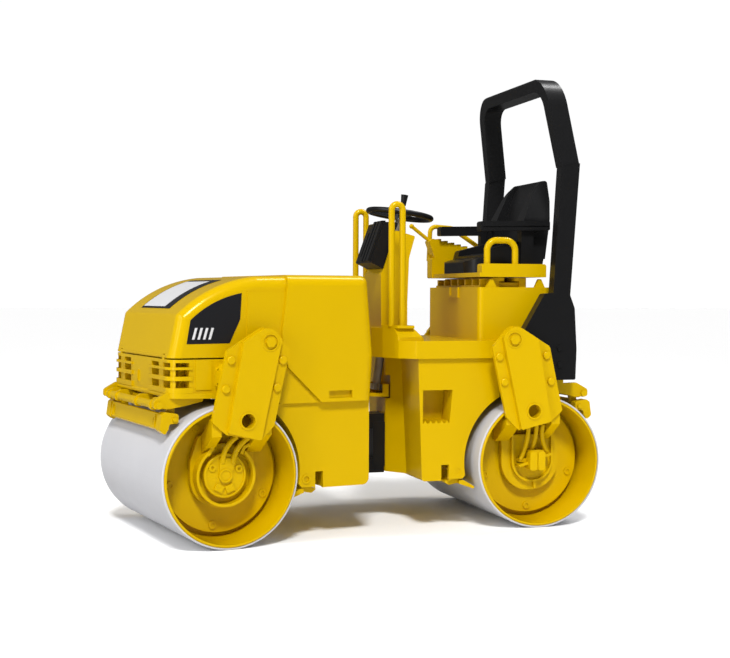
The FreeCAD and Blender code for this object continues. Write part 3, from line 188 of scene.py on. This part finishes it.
def moulded_plastic(name, colour, roughness, grain_size, grain_depth, specular=0.35, tint=WHITE_TINT):
    """Injection-moulded plastic: slight colour drift, uneven gloss and a fine skin."""
    material = bpy.data.materials.new(name)
    material.use_nodes = True
    tree = material.node_tree
    new = tree.nodes.new
    link = tree.links.new
    shader = tree.nodes["Principled BSDF"]
    shader.inputs["Base Color"].default_value = (*colour, 1)
    shader.inputs["Roughness"].default_value = roughness
    shader.inputs["Specular IOR Level"].default_value = specular
    shader.inputs["Specular Tint"].default_value = (*tint, 1)
    place = new("ShaderNodeTexCoord")
    blend = new("ShaderNodeMix")
    blend.data_type = "RGBA"
    blend.inputs["A"].default_value = (*[c * (1 - MOTTLING) for c in colour], 1)
    blend.inputs["B"].default_value = (*[c * (1 + MOTTLING) for c in colour], 1)
    link(noise(tree, place, DRIFT_PER_METRE, 3.0), blend.inputs["Factor"])
    link(blend.outputs["Result"], shader.inputs["Base Color"])
    gloss = new("ShaderNodeMapRange")
    gloss.inputs["To Min"].default_value = roughness * GLOSS_LOW
    gloss.inputs["To Max"].default_value = roughness * GLOSS_HIGH
    link(noise(tree, place, SMEARS_PER_METRE, 4.0), gloss.inputs["Value"])
    link(gloss.outputs["Result"], shader.inputs["Roughness"])
    bump = new("ShaderNodeBump")
    bump.inputs["Strength"].default_value = GRAIN_STRENGTH
    bump.inputs["Distance"].default_value = grain_depth
    link(noise(tree, place, 1.0 / grain_size, 2.0), bump.inputs["Height"])
    link(bump.outputs["Normal"], shader.inputs["Normal"])
    return material


materials = {
    "yellow_plastic": moulded_plastic(
        "yellow_plastic", YELLOW, 0.2, 1.2 * MM, 0.01 * MM, specular=0.4, tint=WARM_TINT
    ),
    "black_plastic": moulded_plastic("black_plastic", BLACK, 0.33, 0.6 * MM, 0.03 * MM),
    "grey_plastic": moulded_plastic("grey_plastic", GREY, 0.5, 0.8 * MM, 0.03 * MM, specular=0.3),
    "steel": moulded_plastic("steel", STEEL, 0.3, 1.0 * MM, 0.02 * MM),
    "shaft_plastic": moulded_plastic("shaft_plastic", SHAFT_BROWN, 0.5, 1.0 * MM, 0.03 * MM),
}
panel_black = moulded_plastic("panel_black", PRINT_BLACK, 0.3, 0.9 * MM, 0.01 * MM, specular=0.3)
panel_pale = moulded_plastic("panel_pale", PRINT_PALE, 0.35, 0.9 * MM, 0.01 * MM, specular=0.3)


# ------------------------------------------------------------------ pieces of the CAD model
EDGE_RADIUS = 0.35 * MM
SHARP_FROM = math.radians(32)              # edges that turn more than this are rounded
FLAT_BELOW = math.radians(1)               # faces that turn less than this are merged


def dress_cad_nodes():
    """Material, merged flat faces, rounded edges and even shading on every CAD piece."""
    slots = {row["node"]: row["material_slot"] for row in frame["record"]["subparts"]}
    for name, node in nodes.items():
        node.data.materials.clear()
        node.data.materials.append(materials[slots[name]])
        flatten = node.modifiers.new("flatten", "DECIMATE")
        flatten.decimate_type = "DISSOLVE"
        flatten.angle_limit = FLAT_BELOW
        bevel = node.modifiers.new("bevel", "BEVEL")
        bevel.width = EDGE_RADIUS
        bevel.segments = 2
        bevel.limit_method = "ANGLE"
        bevel.angle_limit = SHARP_FROM
        smooth = node.modifiers.new("smooth", "WEIGHTED_NORMAL")
        smooth.keep_sharp = True
        for face in node.data.polygons:
            face.use_smooth = True


# ------------------------------------------------------------------ printed panels on the hood
# Outlines are in millimetres, on the front half drawn straight.
HOOD_SIDE = 52.0 * MM
PANEL_LIFT = 0.12 * MM                     # of a film's middle plane above the hood
PANEL_THICK = 0.16 * MM
BAR_THICK = 0.28 * MM                      # bars stand out of the black panel
BEND_STEPS = 4                             # times that a film is halved, to follow a curve

SIDE_SWEEP = ((120.7, 123.6), (108.0, 132.6), (91.5, 138.2))
BAR_COUNT = 4
BAR_PITCH = 3.1
BAR_FIRST = 118.6
BAR_WIDTH = 1.4
BAR_LEAN = 1.8
BAR_LOW, BAR_HIGH = 113.2, 119.4

ROOF_ARC = ((126.9, 126.4), (108.6, 139.6), (82.0, 147.4))
ROOF_LOW, ROOF_HIGH = 49.0, 75.6           # degrees round the roof's arc
ROOF_HALF_WIDTH = 25.5


def panel(name, outline, surface, material, thickness):
    """Thin printed film cut to an outline and laid on a surface of the hood."""
    mesh = bmesh.new()
    mesh.faces.new([mesh.verts.new((u, v, 0)) for u, v in outline])
    bmesh.ops.triangulate(mesh, faces=mesh.faces[:])
    for _ in range(BEND_STEPS):
        bmesh.ops.subdivide_edges(mesh, edges=mesh.edges[:], cuts=1, use_grid_fill=True)
    for vertex in mesh.verts:
        vertex.co = FRONT @ surface(vertex.co.x, vertex.co.y, PANEL_LIFT)
    data = bpy.data.meshes.new(name)
    mesh.to_mesh(data)
    mesh.free()
    piece = bpy.data.objects.new(name, data)
    bpy.context.scene.collection.objects.link(piece)
    piece.data.materials.append(material)
    thick = piece.modifiers.new("thickness", "SOLIDIFY")
    thick.thickness = thickness
    thick.offset = 0
    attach(piece, "hood_lid")


def circle_through(start, middle, end):
    """Centre and radius of the circle through three points."""
    (ax, ay), (bx, by), (cx, cy) = start, middle, end
    double_area = 2 * (ax * (by - cy) + bx * (cy - ay) + cx * (ay - by))
    a2, b2, c2 = ax * ax + ay * ay, bx * bx + by * by, cx * cx + cy * cy
    centre_x = (a2 * (by - cy) + b2 * (cy - ay) + c2 * (ay - by)) / double_area
    centre_y = (a2 * (cx - bx) + b2 * (ax - cx) + c2 * (bx - ax)) / double_area
    return centre_x, centre_y, math.hypot(ax - centre_x, ay - centre_y)


def arc_points(start, middle, end, count):
    """Points on the circle through three points, from the first to the last."""
    centre_x, centre_y, radius = circle_through(start, middle, end)
    first = math.atan2(start[1] - centre_y, start[0] - centre_x)
    last = math.atan2(end[1] - centre_y, end[0] - centre_x)
    angles = [first + (last - first) * k / (count - 1) for k in range(count)]
    return [(centre_x + radius * math.cos(a), centre_y + radius * math.sin(a)) for a in angles]


def on_side(side):
    """Gives a function that maps x, z to the flat side of the hood."""
    def place(x, z, lift):
        return Vector((x * MM, side * (HOOD_SIDE + lift), z * MM))
    return place


def on_roof(turn, y, lift):
    """Maps an angle round the roof's arc, in degrees, and a y to the front slope of the roof."""
    centre_x, centre_z, radius = circle_through(*ROOF_ARC)
    reach = radius + lift / MM
    angle = math.radians(turn)
    x = centre_x + reach * math.cos(angle)
    z = centre_z + reach * math.sin(angle)
    return Vector((x * MM, y * MM, z * MM))


def side_panels():
    """A black panel with four slanted pale bars on each side of the hood."""
    outline = [(98.5, 111.0), (122.9, 110.8), *arc_points(*SIDE_SWEEP, 12), (92.4, 124.0)]
    for word, side in (("left", 1), ("right", -1)):
        panel(f"side_panel_{word}", outline, on_side(side), panel_black, PANEL_THICK)
        for k in range(BAR_COUNT):
            foot = BAR_FIRST - BAR_PITCH * k
            head = foot - BAR_LEAN
            bar = [
                (foot, BAR_LOW),
                (foot + BAR_WIDTH, BAR_LOW),
                (head + BAR_WIDTH, BAR_HIGH),
                (head, BAR_HIGH),
            ]
            panel(f"side_bar_{word}_{k}", bar, on_side(side), panel_pale, BAR_THICK)


def rectangle(u_low, u_high, v_low, v_high):
    return [(u_low, v_low), (u_high, v_low), (u_high, v_high), (u_low, v_high)]


def roof_panels():
    """A black panel with one pale field on the front slope of the hood."""
    outer = rectangle(ROOF_LOW, ROOF_HIGH, -ROOF_HALF_WIDTH, ROOF_HALF_WIDTH)
    panel("roof_panel", outer, on_roof, panel_black, PANEL_THICK)
    inner = rectangle(ROOF_LOW + 1.2, ROOF_HIGH - 2.4, -24.2, 14.5)
    panel("roof_bar", inner, on_roof, panel_pale, BAR_THICK)


make_camera()
make_studio()
dress_cad_nodes()
side_panels()
roof_panels()
